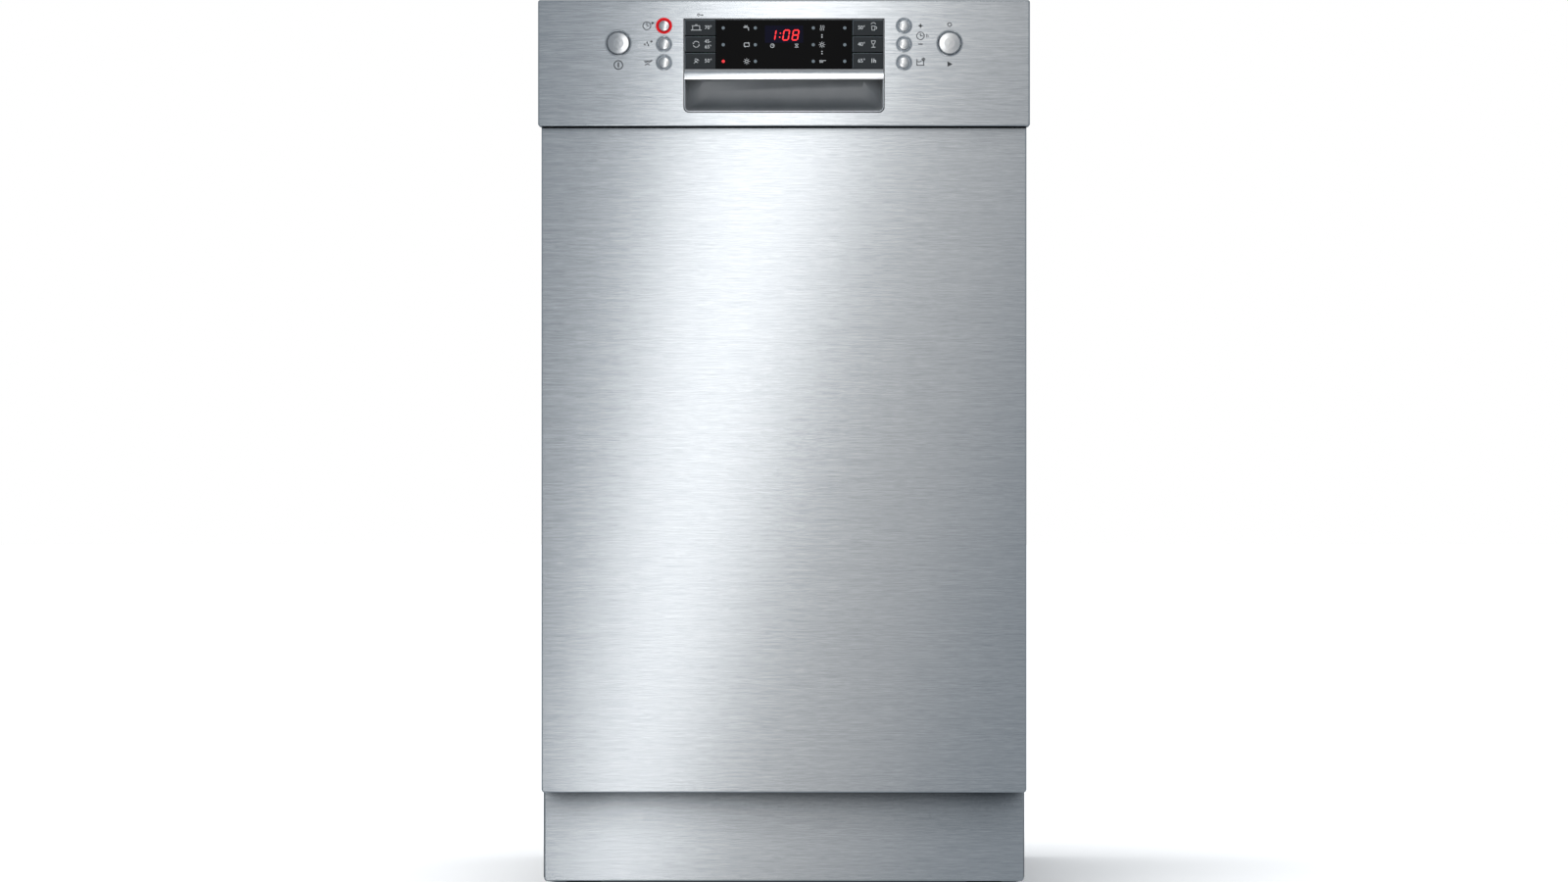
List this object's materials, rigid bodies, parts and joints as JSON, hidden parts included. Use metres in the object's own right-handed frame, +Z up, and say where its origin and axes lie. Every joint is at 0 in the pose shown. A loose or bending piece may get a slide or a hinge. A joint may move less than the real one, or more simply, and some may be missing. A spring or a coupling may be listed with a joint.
{
  "type": "built-in dishwasher",
  "caption": "Slim built-in dishwasher with a drop-down brushed steel door, a control fascia with display and recessed grip, sliding racks, spray arms and adjustable feet.",
  "frame": {"origin": "middle of the overall footprint, on the floor under the feet", "axes": "+X to the right as seen from the front, +Y towards the back, +Z up; the door faces -Y"},
  "size_m": [0.448, 0.573, 0.815],
  "materials": {
    "brushed_front": "fine horizontal brushing",
    "inner_steel": "satin rolled sheet",
    "button_metal": "satin domed caps",
    "bezel_chrome": "polished trim rings",
    "grip_grey": "satin silver moulding",
    "display_black": "glossy black lens",
    "key_grey": "dark grey keys",
    "board_green": "circuit board",
    "zinc_sheet": "galvanised sheet",
    "hinge_steel": "zinc plated steel",
    "tray_plastic": "black moulded plastic",
    "seal_rubber": "soft grey gasket",
    "grey_plastic": "light grey moulding",
    "filter_steel": "perforated sheet",
    "rack_coat": "grey coated wire",
    "white_plastic": "white moulding",
    "lid_plastic": "grey moulding",
    "inlet_black": "black socket"
  },
  "bodies": {
    "chassis": {"base_tray": "tray_plastic", "tub": "inner_steel", "side_panel_left": "zinc_sheet", "side_panel_right": "zinc_sheet", "rear_panel": "zinc_sheet", "top_plate": "zinc_sheet", "front_cross_rail": "zinc_sheet", "door_seal": "seal_rubber", "hinge_brackets": "hinge_steel", "door_springs": "hinge_steel", "plinth_panel": "brushed_front", "rack_rails": "grey_plastic", "sump": "grey_plastic", "fine_filter": "filter_steel", "circulation_pump": "grey_plastic", "drain_pump": "grey_plastic", "water_softener": "white_plastic", "feed_tube": "grey_plastic", "top_shower_head": "grey_plastic", "inlet_valve": "white_plastic", "power_inlet": "inlet_black"},
    "door": {"door_inner_liner": "inner_steel", "door_outer_panel": "brushed_front", "fascia_panel": "brushed_front", "handle_pocket": "grip_grey", "display_window": "display_black", "button_bezels": "bezel_chrome", "control_board": "board_green", "hinge_arms": "hinge_steel", "dispenser_body": "grey_plastic"},
    "button_power": {"button_power": "button_metal"},
    "button_left_upper": {"button_left_upper": "button_metal"},
    "button_left_middle": {"button_left_middle": "button_metal"},
    "button_left_lower": {"button_left_lower": "button_metal"},
    "button_right_upper": {"button_right_upper": "button_metal"},
    "button_right_middle": {"button_right_middle": "button_metal"},
    "button_right_lower": {"button_right_lower": "button_metal"},
    "button_start": {"button_start": "button_metal"},
    "key_left_upper": {"key_left_upper": "key_grey"},
    "key_left_middle": {"key_left_middle": "key_grey"},
    "key_left_lower": {"key_left_lower": "key_grey"},
    "key_right_upper": {"key_right_upper": "key_grey"},
    "key_right_middle": {"key_right_middle": "key_grey"},
    "key_right_lower": {"key_right_lower": "key_grey"},
    "latch_catch": {"latch_catch": "hinge_steel"},
    "dispenser_lid": {"dispenser_lid": "lid_plastic"},
    "rinse_aid_cap": {"rinse_aid_cap": "lid_plastic"},
    "upper_rack": {"upper_rack": "rack_coat", "upper_arm_manifold": "grey_plastic"},
    "upper_spray_arm": {"upper_spray_arm": "grey_plastic"},
    "lower_rack": {"lower_rack": "rack_coat", "cutlery_basket": "grey_plastic"},
    "front_wheels": {"front_wheels": "grey_plastic"},
    "rear_wheels": {"rear_wheels": "grey_plastic"},
    "lower_spray_arm": {"lower_spray_arm": "grey_plastic"},
    "micro_filter": {"micro_filter": "grey_plastic"},
    "salt_cap": {"salt_cap": "white_plastic"},
    "foot_front_left": {"foot_front_left": "tray_plastic"},
    "foot_front_right": {"foot_front_right": "tray_plastic"},
    "foot_rear": {"foot_rear": "tray_plastic"}
  },
  "joints": [
    {"name": "door_hinge", "type": "hinge", "parent": "chassis", "child": "door", "pos_m": [0, -0.26, 0.108], "axis": [1, 0, 0], "range_deg": [0, 90], "stiffness_Nm_per_rad": 10, "springref_deg": -17.19, "deforming": ["door_springs"]},
    {"name": "latch_pivot", "type": "hinge", "parent": "door", "child": "latch_catch", "pos_m": [0, -0.253, 0.797], "axis": [1, 0, 0], "range_deg": [-14, 0], "stiffness_Nm_per_rad": 0.12, "springref_deg": 1.72},
    {"name": "dispenser_lid_slide", "type": "slide", "parent": "door", "child": "dispenser_lid", "axis": [0, 0, 1], "range_m": [0, 0.064]},
    {"name": "rinse_aid_cap_turn", "type": "hinge", "parent": "door", "child": "rinse_aid_cap", "pos_m": [0.048, -0.22, 0.42], "axis": [0, 1, 0], "range_deg": [0, 90]},
    {"name": "upper_rack_slide", "type": "slide", "parent": "chassis", "child": "upper_rack", "axis": [0, -1, 0], "range_m": [0, 0.346]},
    {"name": "lower_rack_slide", "type": "slide", "parent": "chassis", "child": "lower_rack", "axis": [0, -1, 0], "range_m": [0, 0.11]},
    {"name": "front_wheels_roll", "type": "hinge", "parent": "lower_rack", "child": "front_wheels", "pos_m": [0, -0.165, 0.1616], "axis": [1, 0, 0], "range_deg": [0, 394]},
    {"name": "rear_wheels_roll", "type": "hinge", "parent": "lower_rack", "child": "rear_wheels", "pos_m": [0, 0.185, 0.1616], "axis": [1, 0, 0], "range_deg": [0, 394]},
    {"name": "upper_arm_spin", "type": "hinge", "parent": "upper_rack", "child": "upper_spray_arm", "pos_m": [0, 0.015, 0.403], "axis": [0, 0, 1], "continuous": true},
    {"name": "lower_arm_spin", "type": "hinge", "parent": "chassis", "child": "lower_spray_arm", "pos_m": [0, 0.015, 0.172], "axis": [0, 0, 1], "continuous": true},
    {"name": "micro_filter_turn", "type": "hinge", "parent": "chassis", "child": "micro_filter", "pos_m": [0.03, -0.0185, 0.144], "axis": [0, 0, 1], "range_deg": [0, 90]},
    {"name": "salt_cap_turn", "type": "hinge", "parent": "chassis", "child": "salt_cap", "pos_m": [-0.142, 0.11, 0.144], "axis": [0, 0, 1], "range_deg": [0, 90]},
    {"name": "foot_front_left_adjust", "type": "slide", "parent": "chassis", "child": "foot_front_left", "axis": [0, 0, 1], "range_m": [-0.045, 0]},
    {"name": "foot_front_right_adjust", "type": "slide", "parent": "chassis", "child": "foot_front_right", "axis": [0, 0, 1], "range_m": [-0.045, 0]},
    {"name": "foot_rear_adjust", "type": "slide", "parent": "chassis", "child": "foot_rear", "axis": [0, 0, 1], "range_m": [-0.045, 0]},
    {"name": "button_power_press", "type": "slide", "parent": "door", "child": "button_power", "axis": [0, 1, 0], "range_m": [0, 0.0012], "stiffness_N_per_m": 800, "springref_m": -0.0006},
    {"name": "button_left_upper_press", "type": "slide", "parent": "door", "child": "button_left_upper", "axis": [0, 1, 0], "range_m": [0, 0.0012], "stiffness_N_per_m": 800, "springref_m": -0.0006},
    {"name": "button_left_middle_press", "type": "slide", "parent": "door", "child": "button_left_middle", "axis": [0, 1, 0], "range_m": [0, 0.0012], "stiffness_N_per_m": 800, "springref_m": -0.0006},
    {"name": "button_left_lower_press", "type": "slide", "parent": "door", "child": "button_left_lower", "axis": [0, 1, 0], "range_m": [0, 0.0012], "stiffness_N_per_m": 800, "springref_m": -0.0006},
    {"name": "button_right_upper_press", "type": "slide", "parent": "door", "child": "button_right_upper", "axis": [0, 1, 0], "range_m": [0, 0.0012], "stiffness_N_per_m": 800, "springref_m": -0.0006},
    {"name": "button_right_middle_press", "type": "slide", "parent": "door", "child": "button_right_middle", "axis": [0, 1, 0], "range_m": [0, 0.0012], "stiffness_N_per_m": 800, "springref_m": -0.0006},
    {"name": "button_right_lower_press", "type": "slide", "parent": "door", "child": "button_right_lower", "axis": [0, 1, 0], "range_m": [0, 0.0012], "stiffness_N_per_m": 800, "springref_m": -0.0006},
    {"name": "button_start_press", "type": "slide", "parent": "door", "child": "button_start", "axis": [0, 1, 0], "range_m": [0, 0.0012], "stiffness_N_per_m": 800, "springref_m": -0.0006},
    {"name": "key_left_upper_press", "type": "slide", "parent": "door", "child": "key_left_upper", "axis": [0, 1, 0], "range_m": [0, 0.0008], "stiffness_N_per_m": 900, "springref_m": -0.0004},
    {"name": "key_left_middle_press", "type": "slide", "parent": "door", "child": "key_left_middle", "axis": [0, 1, 0], "range_m": [0, 0.0008], "stiffness_N_per_m": 900, "springref_m": -0.0004},
    {"name": "key_left_lower_press", "type": "slide", "parent": "door", "child": "key_left_lower", "axis": [0, 1, 0], "range_m": [0, 0.0008], "stiffness_N_per_m": 900, "springref_m": -0.0004},
    {"name": "key_right_upper_press", "type": "slide", "parent": "door", "child": "key_right_upper", "axis": [0, 1, 0], "range_m": [0, 0.0008], "stiffness_N_per_m": 900, "springref_m": -0.0004},
    {"name": "key_right_middle_press", "type": "slide", "parent": "door", "child": "key_right_middle", "axis": [0, 1, 0], "range_m": [0, 0.0008], "stiffness_N_per_m": 900, "springref_m": -0.0004},
    {"name": "key_right_lower_press", "type": "slide", "parent": "door", "child": "key_right_lower", "axis": [0, 1, 0], "range_m": [0, 0.0008], "stiffness_N_per_m": 900, "springref_m": -0.0004}
  ],
  "couplings": [
    {"joint": "upper_rack_slide", "follows": "door_hinge", "m_per_rad": 0.22},
    {"joint": "lower_rack_slide", "follows": "door_hinge", "m_per_rad": 0.07},
    {"joint": "front_wheels_roll", "follows": "door_hinge", "ratio": 4.375},
    {"joint": "rear_wheels_roll", "follows": "door_hinge", "ratio": 4.375}
  ]
}
